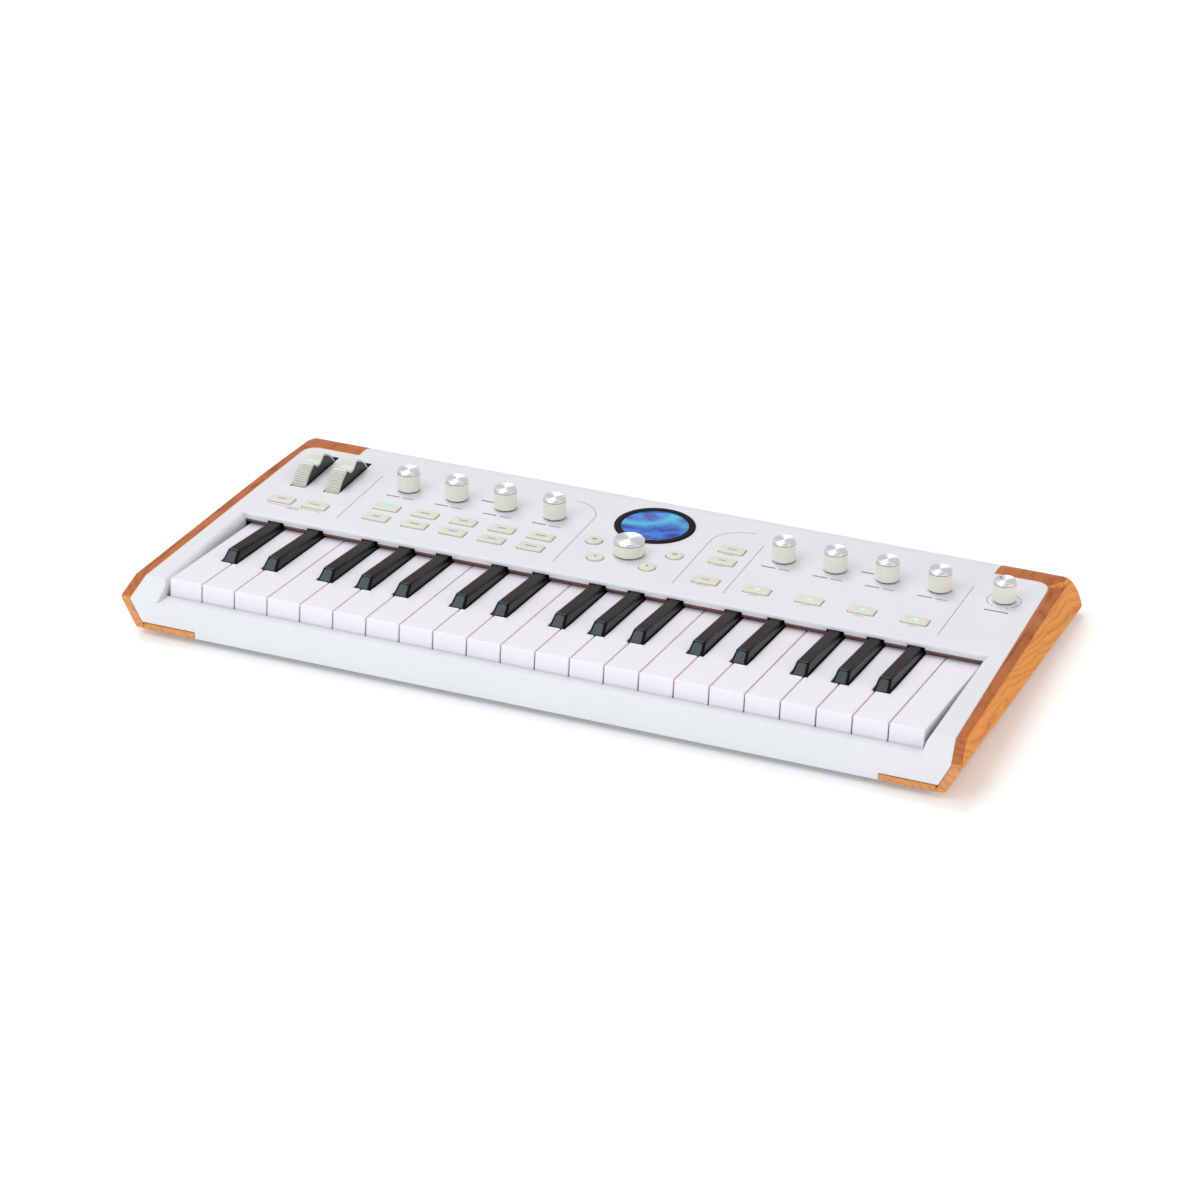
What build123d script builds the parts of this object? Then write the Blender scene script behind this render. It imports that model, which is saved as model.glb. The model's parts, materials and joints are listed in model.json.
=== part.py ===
from build123d import *
import os
from math import cos, radians, sin

# A compact desktop synthesizer: 37 slim keys, a level control panel, and a wood
# cheek at each end. Millimetres. +X runs from the low keys to the high keys, +Y to
# the rear, +Z up. The origin is on the table under the middle of the footprint.

os.makedirs("parts", exist_ok=True)

# ---------------------------------------------------------------- driving sizes
key_pitch = 21.5            # slim keys: seven of them make a 150.5 mm octave
white_count = 22
keyboard_half = key_pitch * white_count / 2

panel_z = 32.0              # top of the control panel
panel_wall = 2.2
case_z = 4.0                # underside of the case, on its feet
floor_z = 7.0               # inside face of the bottom case
side_wall = 2.5
seam = 0.2                  # gap between the white case and the wood
past_all = 300.0            # longer than half of any part, for cuts right through

front_y = -128.0            # front ridge
rear_y = 128.0
shoulder_y = -112.6         # where the side arms start to fall to the ridge
ridge_z = 23.6
front_foot_y = -127.2       # the front face leans in slightly towards its foot
rear_round = 27.5           # between the panel and the rear face

well_half = 238.3           # key well, between the side arms
well_front_y = -116.0
ledge_z = 23.2
lip_y = -11.3               # front edge of the panel over the keys
lip_round = 2.0
lip_low = 28.4              # foot of the lip, between the black keys
lip_deep = 2.3
arm_round = 4.0             # inner top edge of the side arms

# Each outer face of the wood has two planes that meet in a ridge: the upper one
# leans out and the lower one is undercut. Half widths at the front and the rear:
top_front_half, top_rear_half = 260.7, 252.4        # upper plane at panel_z
foot_front_half, foot_rear_half = 253.5, 258.1      # lower plane at case_z
upper_lean, lower_lean = 0.25, 0.50                 # sideways run for each mm of height
cheek_thick = 6.3           # wood outside the white case, measured along X
cheek_return_y = 94.5       # the wood turns the rear corners here
cheek_return_x = 211.5
cheek_corner_round = 9.0
front_strip_x = 214.5       # the wood also turns the front corners, low down
front_strip_z = 8.2
front_strip_depth = 4.5

key_tilt = 5.0              # the key tops fall towards the rear
key_front_y = -114.5        # top front edge of the white keys
key_front_z = 34.1
key_gap = 0.8
key_apron = 13.4            # height of a white key's front
key_depth = 10.5
key_skin = 2.2
notch_y = 39.5              # white keys narrow here, beside the black keys
black_start = 40.3
black_top_start = 47.0
black_base = 9.6
black_top = 7.6
black_high = 6.2            # height over the white keys, at the front
black_low = 4.1             # and where it passes under the panel
slot_half = 5.5             # half the space that a black key gets
neck_end = 112.0
tail_end = 126.0
tail_half = 4.2
tail_top = -2.0
tail_low = -11.5
pivot_along = 121.0         # key hinge, measured along the key and below its top
pivot_drop = 7.0
rod_r = 1.5
running_gap = 0.05
post_w, post_d, post_h = 5.0, 7.0, 10.5             # guide post inside a white key
rib_thick, rib_deep, rib_over_rod = 1.6, 9.0, 3.2   # ribs that carry the hinge rod

rect_w, rect_d, rect_round = 15.8, 8.6, 1.2
round_r = 5.15
button_gap = 0.3
button_proud = 1.1
flange = 0.9                # how far a button's flange passes its opening
flange_z = 28.4
flange_thick = 1.0

knob_r, knob_h = 7.2, 13.5
dial_r, dial_h = 9.6, 10.0
knob_lift = 0.5
cap_run, cap_drop = 1.4, 0.8    # chamfer of a knob's cap
shaft_r = 3.0
shaft_foot_z = 25.0

wheel_r = 25.2
wheel_w = 9.4
wheel_axis_drop = 13.2      # wheel axis below the panel
wheel_y = 59.0
wheel_xs = (-226.3, -203.3)
wheel_names = ("pitch_wheel", "mod_wheel")
wheel_sector = 85.0         # half the angle of rim that a wheel has
notch_r = 7.4               # thumb notch in the rim
notch_over = 2.6            # its centre lies this far outside the rim
notch_y_shift = -1.5
wheel_stub_r = 2.0
wheel_stub = 3.6
slot_w, slot_l = 10.4, 50.0
slot_shift = 2.0            # the slot's middle lies this far behind the axis
bearing_reach = 7.6         # from a wheel's middle to its outer bearing block

display_x, display_y = 0.0, 73.0
display_r = 25.2
glass_r = 20.9
bezel_proud = 0.8

board_z = 22.2
board_thick = 1.6

plate_front_y, plate_rear_y = -123.3, 125.0
plate_gap = 0.4

bay_half = 150.0            # recessed connector bay at the rear
bay_wall_y = 115.0
bay_top_z = 24.5
jack_r = 3.3
jack_z = 15.5
jack_xs = (30.0, 58.0, 86.0, 114.0)
inlet_x, inlet_r = -60.0, 3.0
usb_x, usb_w, usb_h = -15.0, 9.4, 3.6

# ---------------------------------------------------------------- panel layout
row_front_y = 14.8
row_rear_y = 30.7
tone_xs = [-161.6 + 25.9 * i for i in range(5)]
effect_xs = [88.8 + 33.0 * i for i in range(4)]
rect_places = [(x, row_front_y) for x in wheel_xs]
rect_places += [(x, y) for y in (row_front_y, row_rear_y) for x in tone_xs]
rect_places += [(55.9, 59.5), (55.9, 43.1), (55.9, row_front_y)]
rect_places += [(x, row_front_y) for x in effect_xs]
round_places = [(-26.3, 38.9), (-16.9, 17.8), (16.9, 17.8), (26.3, 38.9)]

knob_y = 60.2
knob_places = [(-160.6 + 33.0 * i, knob_y) for i in range(4)]
knob_places += [(x, knob_y) for x in effect_xs]
volume_place = (227.5, 61.5)
dial_place = (0.0, 30.4)

screw_places = [(side * x, y) for side in (-1, 1)
                for x, y in ((241.8, -89.0), (241.8, -22.0), (238.5, 72.0), (180.0, 104.0))]
foot_places = [(side * x, y) for side in (-1, 1) for x, y in ((222.0, -86.0), (190.0, 78.0))]
foot_r = 9.0
boss_r = 3.2
screw_r, screw_head_r = 1.25, 2.4

# Offset of each black key from the joint between its two white neighbours.
black_offset = {1: -2.7, 2: 2.7, 4: -3.4, 5: 0.0, 6: 3.4}

key_plane = Plane(
    origin=(0, key_front_y, key_front_z),
    x_dir=(1, 0, 0),
    z_dir=(0, sin(radians(key_tilt)), cos(radians(key_tilt))),
)
key_side = Plane(origin=key_plane.origin, x_dir=key_plane.y_dir, z_dir=(1, 0, 0))
pivot_at = key_side.from_local_coords((pivot_along, -pivot_drop, 0))
hull_low, hull_high = case_z - 3, panel_z + 3


def save(builder, name):
    builder.part.label = name
    export_step(builder.part, f"parts/{name}.step")


def joint_x(k):
    """X of the joint to the left of white key k."""
    return k * key_pitch - keyboard_half


def black_x(k):
    """X of the black key over the joint to the left of white key k, or None."""
    offset = black_offset.get(k % 7)
    if offset is None or not 0 < k < white_count - 1:
        return None
    return joint_x(k) + offset


black_xs = [black_x(k) for k in range(white_count) if black_x(k) is not None]


def half_at(y, front_half, rear_half):
    """Half width at y of an outline that tapers evenly from front to rear."""
    return front_half + (rear_half - front_half) * (y - front_y) / (rear_y - front_y)


def side_outline():
    """Side view of the whole case, in the YZ plane."""
    with BuildSketch(Plane.YZ) as outline:
        with BuildLine():
            FilletPolyline(
                (shoulder_y, panel_z),
                (rear_y, panel_z),
                (rear_y, case_z),
                radius=rear_round,
            )
            Polyline(
                (rear_y, case_z),
                (front_foot_y, case_z),
                (front_y, ridge_z),
                (shoulder_y, panel_z),
            )
        make_face()
    return outline.sketch_local


def hull_section(y, inset):
    """Front view of the space between the two sides at y, drawn in by inset."""
    top = half_at(y, top_front_half, top_rear_half) - inset
    foot = half_at(y, foot_front_half, foot_rear_half) - inset
    lean = upper_lean + lower_lean
    ridge = (top - foot + upper_lean * panel_z + lower_lean * case_z) / lean
    points = []
    for z in (hull_low, ridge, hull_high):
        upper = top + upper_lean * (panel_z - z)
        lower = foot + lower_lean * (z - case_z)
        points.append((min(upper, lower), z))
    with BuildSketch(Plane.XZ.offset(-y)) as section:
        with BuildLine():
            Polyline(*points, *[(-x, z) for x, z in reversed(points)], close=True)
        make_face()
    return section.sketch


def hull(inset):
    """Everything between the two sides, drawn in by inset along X."""
    with BuildPart() as block:
        add(hull_section(front_y - 10, inset))
        add(hull_section(rear_y + 10, inset))
        loft(ruled=True)
    return block.part


def case_block(inset):
    """The white case seen from above, drawn in by inset from the wood all round."""
    top = half_at(cheek_return_y, top_front_half, top_rear_half) - cheek_thick
    corner_x = top - cheek_corner_round
    corner_y = cheek_return_y - cheek_corner_round
    with BuildPart() as block:
        add(hull(cheek_thick + inset))
        with BuildSketch(Plane.XY.offset(hull_low)):
            for side in (-1, 1):
                with Locations((side * (cheek_return_x - inset + 50), cheek_return_y - inset + 50)):
                    Rectangle(100, 100)
                with Locations((side * (corner_x + 30), corner_y + 30)):
                    Rectangle(60, 60)
                with Locations((side * corner_x, corner_y)):
                    Circle(cheek_corner_round - inset, mode=Mode.SUBTRACT)
        extrude(amount=hull_high - hull_low, mode=Mode.SUBTRACT)
    return block.part


def plate_plan(inset):
    """Top view of the rebate for the bottom case, drawn in by inset."""
    edge = cheek_thick + seam + side_wall + inset
    front_half = half_at(plate_front_y, foot_front_half, foot_rear_half) - edge
    corner_half = half_at(cheek_return_y, foot_front_half, foot_rear_half) - edge
    corner_y = cheek_return_y - seam - side_wall - inset
    return_half = cheek_return_x - seam - side_wall - inset
    with BuildSketch() as plan:
        with BuildLine():
            Polyline(
                (-front_half, plate_front_y + inset),
                (front_half, plate_front_y + inset),
                (corner_half, corner_y - cheek_corner_round),
                (corner_half - cheek_corner_round, corner_y),
                (return_half, corner_y),
                (return_half, plate_rear_y - inset),
                (-return_half, plate_rear_y - inset),
                (-return_half, corner_y),
                (cheek_corner_round - corner_half, corner_y),
                (-corner_half, corner_y - cheek_corner_round),
                close=True,
            )
        make_face()
    return plan.sketch


# ---------------------------------------------------------------- white top case
case_section = side_outline()
bay_roof_z = bay_top_z + side_wall
bay_skin_y = bay_wall_y - side_wall

with BuildPart() as case_hollow:
    with BuildSketch(Plane.YZ):
        add(case_section)
        offset(amount=-panel_wall, kind=Kind.INTERSECTION)
    extrude(amount=past_all, both=True)
    add(case_block(seam + side_wall), mode=Mode.INTERSECT)
    # Solid walls stay round the key well, and round the connector bay.
    with BuildSketch(Plane.XY.offset(case_z - 2)):
        with Locations((0, (front_y + lip_y) / 2)):
            Rectangle(2 * (well_half + side_wall), lip_y - front_y)
    extrude(amount=60, mode=Mode.SUBTRACT)
    with BuildSketch(Plane.XY.offset(case_z - 2)):
        with Locations((0, bay_skin_y + 20)):
            Rectangle(2 * (bay_half + side_wall), 40)
    extrude(amount=bay_roof_z - case_z + 2, mode=Mode.SUBTRACT)

with BuildPart() as top_case:
    with BuildSketch(Plane.YZ):
        add(case_section)
    extrude(amount=past_all, both=True)
    add(case_block(seam), mode=Mode.INTERSECT)
    add(case_hollow.part, mode=Mode.SUBTRACT)
    # Key well, open down to the key frame, and the low ledge before the keys.
    with BuildSketch(Plane.XY):
        with Locations((0, (well_front_y + lip_y) / 2)):
            Rectangle(2 * well_half, lip_y - well_front_y)
    extrude(amount=60, mode=Mode.SUBTRACT)
    with BuildSketch(Plane.XY):
        with Locations((0, lip_y)):
            Rectangle(2 * well_half, 12)
    extrude(amount=panel_z - panel_wall, mode=Mode.SUBTRACT)
    with BuildSketch(Plane.XY.offset(ledge_z)):
        with Locations((0, front_y)):
            Rectangle(2 * well_half, 2 * (well_front_y - front_y))
    extrude(amount=30, mode=Mode.SUBTRACT)
    with BuildSketch(Plane.XY):
        with Locations((0, (front_y + well_front_y) / 2)):
            Rectangle(2 * well_half, well_front_y - front_y - 2 * side_wall)
    extrude(amount=ledge_z - side_wall, mode=Mode.SUBTRACT)
    # The lip hangs lower between the black keys than over them.
    with BuildSketch(Plane.XY.offset(lip_low)):
        with Locations((0, lip_y + lip_deep / 2)):
            Rectangle(2 * well_half + side_wall, lip_deep)
        with Locations(*[(x, lip_y) for x in black_xs]):
            Rectangle(2 * slot_half, 3 * lip_deep, mode=Mode.SUBTRACT)
    extrude(amount=panel_z - panel_wall - lip_low + 0.1)
    # Room for the wood that turns the front corners.
    with BuildSketch(Plane.XY):
        for side in (-1, 1):
            with Locations((side * (front_strip_x - seam + 25), front_y)):
                Rectangle(50, 2 * (front_strip_depth + seam))
    extrude(amount=front_strip_z + seam, mode=Mode.SUBTRACT)
    # Screw bosses, from the panel down to the bottom case.
    with BuildSketch(Plane.XY.offset(floor_z)):
        with Locations(*screw_places):
            Circle(boss_r)
    extrude(amount=panel_z - panel_wall - floor_z)
    with BuildSketch(Plane.XY.offset(floor_z)):
        with Locations(*screw_places):
            Circle(screw_r)
    extrude(amount=12, mode=Mode.SUBTRACT)
    # Openings for the controls.
    with BuildSketch(Plane.XY.offset(panel_z - 4)):
        with Locations(*rect_places):
            RectangleRounded(rect_w + 2 * button_gap, rect_d + 2 * button_gap, rect_round)
        with Locations(*round_places):
            Circle(round_r + button_gap)
        with Locations(*knob_places, volume_place, dial_place):
            Circle(shaft_r + 0.5)
        with Locations((display_x, display_y)):
            Circle(display_r - 1.2)
        with Locations(*[(x, wheel_y + slot_shift) for x in wheel_xs]):
            Rectangle(slot_w, slot_l)
    extrude(amount=5, mode=Mode.SUBTRACT)
    # Connector bay: a recess with an upright wall, under the rear slope.
    with BuildSketch(Plane.XY):
        with Locations((0, bay_wall_y + 20)):
            Rectangle(2 * bay_half, 40)
    extrude(amount=bay_top_z, mode=Mode.SUBTRACT)
    with BuildSketch(Plane.XZ.offset(-bay_wall_y)):
        with Locations(*[(x, jack_z) for x in jack_xs]):
            Circle(jack_r)
        with Locations((inlet_x, jack_z)):
            Circle(inlet_r)
        with Locations((usb_x, jack_z)):
            SlotOverall(usb_w, usb_h)
    extrude(amount=side_wall + 1, mode=Mode.SUBTRACT)
    # Rebate that the bottom case lies in.
    with BuildSketch(Plane.XY):
        add(plate_plan(0))
    extrude(amount=floor_z + 0.3, mode=Mode.SUBTRACT)
    # Rounded front edge of the panel over the keys.
    with BuildSketch(Plane.YZ):
        with BuildLine():
            Polyline((lip_y, panel_z - lip_round), (lip_y, panel_z), (lip_y + lip_round, panel_z))
            RadiusArc((lip_y + lip_round, panel_z), (lip_y, panel_z - lip_round), -lip_round)
        make_face()
    extrude(amount=well_half, both=True, mode=Mode.SUBTRACT)
    # Rounded inner edges of the side arms.
    with BuildSketch(Plane.XZ.offset(-lip_y)):
        for side in (-1, 1):
            with BuildLine():
                Polyline(
                    (side * well_half, panel_z - arm_round),
                    (side * well_half, panel_z),
                    (side * (well_half + arm_round), panel_z),
                )
                RadiusArc(
                    (side * (well_half + arm_round), panel_z),
                    (side * well_half, panel_z - arm_round),
                    -side * arm_round,
                )
            make_face()
    extrude(amount=lip_y - front_y, mode=Mode.SUBTRACT)
save(top_case, "top_case")

# ---------------------------------------------------------------- bottom case
wheel_axis_z = panel_z - wheel_axis_drop
wheel_mid_x = sum(wheel_xs) / 2
wheel_bearing_xs = (wheel_xs[0] - bearing_reach, wheel_mid_x, wheel_xs[1] + bearing_reach)
with BuildPart() as bottom_case:
    with BuildSketch(Plane.XY.offset(case_z)):
        add(plate_plan(plate_gap))
    extrude(amount=floor_z - case_z)
    with BuildSketch(Plane.XY.offset(floor_z)):
        with Locations(*[(x, wheel_y) for x in wheel_bearing_xs]):
            Rectangle(3.0, 14.0)
    extrude(amount=wheel_axis_z + 5 - floor_z)
    with BuildSketch(Plane.YZ.offset(wheel_bearing_xs[0] - 5)):
        with Locations((wheel_y, wheel_axis_z)):
            Circle(wheel_stub_r + running_gap)
    extrude(amount=60, mode=Mode.SUBTRACT)
    with Locations(*[(x, y, case_z) for x, y in screw_places]):
        with Locations(Rotation(180, 0, 0)):
            CounterBoreHole(radius=1.7, counter_bore_radius=2.7, counter_bore_depth=1.8, depth=4)
save(bottom_case, "bottom_case")

# ---------------------------------------------------------------- wood cheeks
for side, cheek_name in ((-1, "left_end_cheek"), (1, "right_end_cheek")):
    with BuildPart() as cheek:
        with BuildSketch(Plane.YZ):
            add(case_section)
        extrude(amount=side * past_all)
        add(hull(0), mode=Mode.INTERSECT)
        add(case_block(0), mode=Mode.SUBTRACT)
        # Low strip that carries the wood round the front corner.
        strip_end = half_at(front_y, foot_front_half, foot_rear_half) - cheek_thick + 1
        with BuildSketch(Plane.XY.offset(case_z)):
            with Locations((side * (front_strip_x + strip_end) / 2, front_y + front_strip_depth / 2)):
                Rectangle(strip_end - front_strip_x, front_strip_depth)
        extrude(amount=front_strip_z - case_z)
    save(cheek, cheek_name)

# ---------------------------------------------------------------- key frame
frame_z = floor_z
frame_thick = 2.0
frame_front_y = well_front_y + 1.5
frame_rear_y = pivot_at.Y + 8
rib_xs = [joint_x(k) for k in range(1, white_count) if black_x(k) is None]
rib_xs += [-keyboard_half - 0.4, keyboard_half + 0.4]
with BuildPart() as key_frame:
    with BuildSketch(Plane.XY.offset(frame_z)):
        with Locations((0, (frame_front_y + frame_rear_y) / 2)):
            Rectangle(2 * well_half - 1, frame_rear_y - frame_front_y)
    extrude(amount=frame_thick)
    # A guide post stands inside the hollow of each white key.
    with BuildSketch(Plane.XY.offset(frame_z + frame_thick)):
        with Locations(*[(joint_x(k) + key_pitch / 2, key_front_y + 16) for k in range(white_count)]):
            RectangleRounded(post_w, post_d, 1.0)
    extrude(amount=post_h)
    # Upright ribs carry the hinge rod.
    with BuildSketch(Plane.XY.offset(frame_z + frame_thick)):
        with Locations(*[(x, pivot_at.Y) for x in rib_xs]):
            Rectangle(rib_thick, rib_deep)
    extrude(amount=pivot_at.Z + rib_over_rod - frame_z - frame_thick)
    with BuildSketch(Plane.YZ.offset(-keyboard_half - 3)):
        with Locations((pivot_at.Y, pivot_at.Z)):
            Circle(rod_r + 0.02)
    extrude(amount=2 * keyboard_half + 6, mode=Mode.SUBTRACT)
    with BuildSketch(Plane.YZ.offset(-keyboard_half - 2)):
        with Locations((pivot_at.Y, pivot_at.Z)):
            Circle(rod_r)
    extrude(amount=2 * keyboard_half + 4)
save(key_frame, "key_frame")

# ---------------------------------------------------------------- keys
tail_mid = (neck_end + tail_end) / 2


def key_tail(centre_x):
    """Narrow rear end of a key, with the bore that turns on the hinge rod."""
    with BuildPart() as tail:
        with BuildSketch(key_plane.offset(tail_low)):
            with Locations((centre_x, tail_mid - 1)):
                Rectangle(2 * tail_half, tail_end - neck_end + 2)
        extrude(amount=tail_top - tail_low)
        with BuildSketch(Plane.YZ.offset(centre_x - 10)):
            with Locations((pivot_at.Y, pivot_at.Z)):
                Circle(rod_r + running_gap)
        extrude(amount=20, mode=Mode.SUBTRACT)
    return tail.part


def make_white_key(k):
    left = joint_x(k) + key_gap / 2
    right = joint_x(k + 1) - key_gap / 2
    black_left, black_right = black_x(k), black_x(k + 1)
    neck_left = left if black_left is None else black_left + slot_half
    neck_right = right if black_right is None else black_right - slot_half
    with BuildPart() as key:
        with BuildSketch(key_plane):
            with Locations(((left + right) / 2, notch_y / 2)):
                Rectangle(right - left, notch_y)
            with Locations(((neck_left + neck_right) / 2, (notch_y + neck_end) / 2)):
                Rectangle(neck_right - neck_left, neck_end - notch_y)
        extrude(amount=-key_depth)
        with BuildSketch(key_plane):
            with Locations(((left + right) / 2, 1.5)):
                Rectangle(right - left, 3)
        extrude(amount=-key_apron)
        # Hollow underneath, in the head and in the neck.
        with BuildSketch(key_plane.offset(-key_skin)):
            with Locations(((left + right) / 2, (3 + notch_y) / 2)):
                Rectangle(right - left - 2 * key_skin, notch_y - 3 - key_skin)
            with Locations(((neck_left + neck_right) / 2, (notch_y + neck_end) / 2)):
                Rectangle(neck_right - neck_left - 2 * key_skin, neck_end - notch_y - 2 * key_skin)
        extrude(amount=-key_apron, mode=Mode.SUBTRACT)
        add(key_tail((neck_left + neck_right) / 2))
    save(key, f"white_key_{k + 1:02d}")


def make_black_key(number, centre_x):
    with BuildPart() as key:
        # The upper part narrows upwards on all sides, and its top slopes to the rear.
        with BuildSketch(key_plane):
            with Locations((centre_x, (black_start + neck_end) / 2)):
                Rectangle(black_base, neck_end - black_start)
        with BuildSketch(key_plane.offset(black_high)):
            with Locations((centre_x, (black_top_start + neck_end) / 2)):
                Rectangle(black_top, neck_end - black_top_start)
        loft()
        with BuildSketch(key_side.offset(centre_x)):
            with BuildLine():
                Polyline(
                    (0, -1),
                    (neck_end + 1, -1),
                    (neck_end + 1, black_low),
                    (black_top_start, black_high),
                    (0, black_high),
                    close=True,
                )
            make_face()
        extrude(amount=20, both=True, mode=Mode.INTERSECT)
        with BuildSketch(key_plane):
            with Locations((centre_x, (black_start + neck_end) / 2)):
                Rectangle(black_base, neck_end - black_start)
        extrude(amount=-key_depth)
        with BuildSketch(key_plane.offset(-key_skin)):
            with Locations((centre_x, (black_start + neck_end) / 2)):
                Rectangle(black_base - 2 * key_skin, neck_end - black_start - 2 * key_skin)
        extrude(amount=-key_apron, mode=Mode.SUBTRACT)
        add(key_tail(centre_x))
    save(key, f"black_key_{number:02d}")


for k in range(white_count):
    make_white_key(k)

for number, x in enumerate(black_xs, start=1):
    make_black_key(number, x)

# ---------------------------------------------------------------- buttons
button_top_z = panel_z + button_proud
with BuildPart() as rect_buttons:
    with BuildSketch(Plane.XY.offset(flange_z)):
        with Locations(*rect_places):
            Rectangle(rect_w + 2 * flange, rect_d + 2 * flange)
    extrude(amount=flange_thick)
    with BuildSketch(Plane.XY.offset(flange_z)):
        with Locations(*rect_places):
            RectangleRounded(rect_w, rect_d, rect_round)
    extrude(amount=button_top_z - flange_z)
save(rect_buttons, "rectangular_buttons")

with BuildPart() as round_buttons:
    with BuildSketch(Plane.XY.offset(flange_z)):
        with Locations(*round_places):
            Circle(round_r + flange)
    extrude(amount=flange_thick)
    with BuildSketch(Plane.XY.offset(flange_z)):
        with Locations(*round_places):
            Circle(round_r)
    extrude(amount=button_top_z - flange_z)
save(round_buttons, "round_buttons")


# ---------------------------------------------------------------- knobs
def make_knob(name, place, radius, height):
    """A knob with its shaft: plain wall, chamfered cap."""
    foot_z = panel_z + knob_lift
    with BuildPart() as knob:
        with BuildSketch(Plane.XY.offset(foot_z)):
            with Locations(place):
                Circle(radius)
        extrude(amount=height)
        chamfer(knob.edges().group_by(Axis.Z)[-1], length=cap_run, length2=cap_drop)
        with BuildSketch(Plane.XY.offset(shaft_foot_z)):
            with Locations(place):
                Circle(shaft_r)
        extrude(amount=foot_z - shaft_foot_z)
    save(knob, name)


for number, place in enumerate(knob_places, start=1):
    make_knob(f"knob_{number}", place, knob_r, knob_h)
make_knob("volume_knob", volume_place, knob_r - 0.2, knob_h)
make_knob("main_dial", dial_place, dial_r, dial_h)

# ---------------------------------------------------------------- wheels
sector_y = wheel_r * sin(radians(wheel_sector))
sector_z = wheel_r * cos(radians(wheel_sector))
for name, x in zip(wheel_names, wheel_xs):
    with BuildPart() as wheel:
        with BuildSketch(Plane(origin=(x, wheel_y, wheel_axis_z), x_dir=(0, 1, 0), z_dir=(1, 0, 0))):
            with BuildLine():
                ThreePointArc((-sector_y, sector_z), (0, wheel_r), (sector_y, sector_z))
                Polyline((sector_y, sector_z), (0, 0), (-sector_y, sector_z))
            make_face()
            Circle(5.0)
            with Locations((notch_y_shift, wheel_r + notch_over)):
                Circle(notch_r, mode=Mode.SUBTRACT)
        extrude(amount=wheel_w / 2, both=True)
        with BuildSketch(Plane(origin=(x, wheel_y, wheel_axis_z), x_dir=(0, 1, 0), z_dir=(1, 0, 0))):
            Circle(wheel_stub_r)
        extrude(amount=wheel_w / 2 + wheel_stub, both=True)
    save(wheel, name)

# ---------------------------------------------------------------- display
with BuildPart() as display_module:
    with BuildSketch(Plane.XY.offset(panel_z)):
        with Locations((display_x, display_y)):
            Circle(display_r)
            Circle(glass_r, mode=Mode.SUBTRACT)
    extrude(amount=bezel_proud)
    chamfer(display_module.edges().group_by(Axis.Z)[-1].sort_by(SortBy.RADIUS)[-1], length=0.4)
    with BuildSketch(Plane.XY.offset(panel_z - 5)):
        with Locations((display_x, display_y)):
            Circle(display_r - 1.5)
    extrude(amount=5)
save(display_module, "display_module")

# ---------------------------------------------------------------- circuit boards
board_top = board_z + board_thick
switch_top = flange_z - 0.6
control_places = knob_places + [volume_place, dial_place]
main_board_z = floor_z + 1.5
with BuildPart() as circuit_boards:
    # Control board under the panel: clear of the wheels, with a hole for the display.
    with BuildSketch(Plane.XY.offset(board_z)):
        with BuildLine():
            Polyline(
                (-234, 9.3), (234, 9.3), (234, 90.5), (-192, 90.5), (-192, 28.0), (-234, 28.0),
                close=True,
            )
        make_face()
        with Locations((display_x, display_y)):
            Circle(display_r, mode=Mode.SUBTRACT)
    extrude(amount=board_thick)
    with BuildSketch(Plane.XY.offset(board_top)):
        with Locations(*rect_places, *round_places):
            Rectangle(6.0, 6.0)
    extrude(amount=switch_top - board_top)
    with BuildSketch(Plane.XY.offset(board_top)):
        with Locations(*control_places):
            Rectangle(12.0, 12.0)
    extrude(amount=panel_z - panel_wall - 0.4 - board_top)
    with BuildSketch(Plane.XY.offset(shaft_foot_z - 0.3)):
        with Locations(*control_places):
            Circle(shaft_r + running_gap)
    extrude(amount=10, mode=Mode.SUBTRACT)
    # Main board on the floor, with the sockets that reach the connector bay.
    with BuildSketch(Plane.XY.offset(main_board_z)):
        with Locations((20, bay_skin_y - 24.5)):
            Rectangle(240, 48.0)
    extrude(amount=board_thick)
    with BuildSketch(Plane.XY.offset(main_board_z + board_thick)):
        with Locations(*[(x, bay_skin_y - 12.5) for x in jack_xs]):
            Rectangle(13.0, 24.0)
        with Locations((inlet_x, bay_skin_y - 7.5)):
            Rectangle(9.0, 14.0)
        with Locations((usb_x, bay_skin_y - 5.0)):
            Rectangle(usb_w + 2.4, 9.0)
    extrude(amount=11.5)
    with BuildSketch(Plane.XZ.offset(-bay_skin_y)):
        with Locations(*[(x, jack_z) for x in jack_xs]):
            Circle(jack_r)
        with Locations((inlet_x, jack_z)):
            Circle(inlet_r)
        with Locations((usb_x, jack_z)):
            SlotOverall(usb_w, usb_h)
    extrude(amount=8, mode=Mode.SUBTRACT)
    with BuildSketch(Plane.XZ.offset(-bay_skin_y + 7)):
        with Locations(*[(x, jack_z) for x in jack_xs]):
            Circle(jack_r)
    extrude(amount=12, mode=Mode.SUBTRACT)
    # Key contact board under the keys.
    with BuildSketch(Plane.XY.offset(frame_z + frame_thick)):
        with Locations((0, key_front_y + 72)):
            Rectangle(2 * keyboard_half, 22)
    extrude(amount=board_thick)
save(circuit_boards, "circuit_boards")

# ---------------------------------------------------------------- feet and screws
with BuildPart() as rubber_feet:
    with BuildSketch(Plane.XY):
        with Locations(*foot_places):
            Circle(foot_r)
    extrude(amount=case_z)
save(rubber_feet, "rubber_feet")

with BuildPart() as case_screws:
    with BuildSketch(Plane.XY.offset(case_z + 0.2)):
        with Locations(*screw_places):
            Circle(screw_head_r)
    extrude(amount=1.6)
    with BuildSketch(Plane.XY.offset(case_z + 1.0)):
        with Locations(*screw_places):
            Circle(screw_r)
    extrude(amount=12)
save(case_screws, "case_screws")
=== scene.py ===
"""Looks for the desktop synthesizer: metres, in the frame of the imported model."""

import json
from math import asin, cos, pi, radians, sin, sqrt

import bmesh
import bpy
from mathutils import Matrix, Vector

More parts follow.
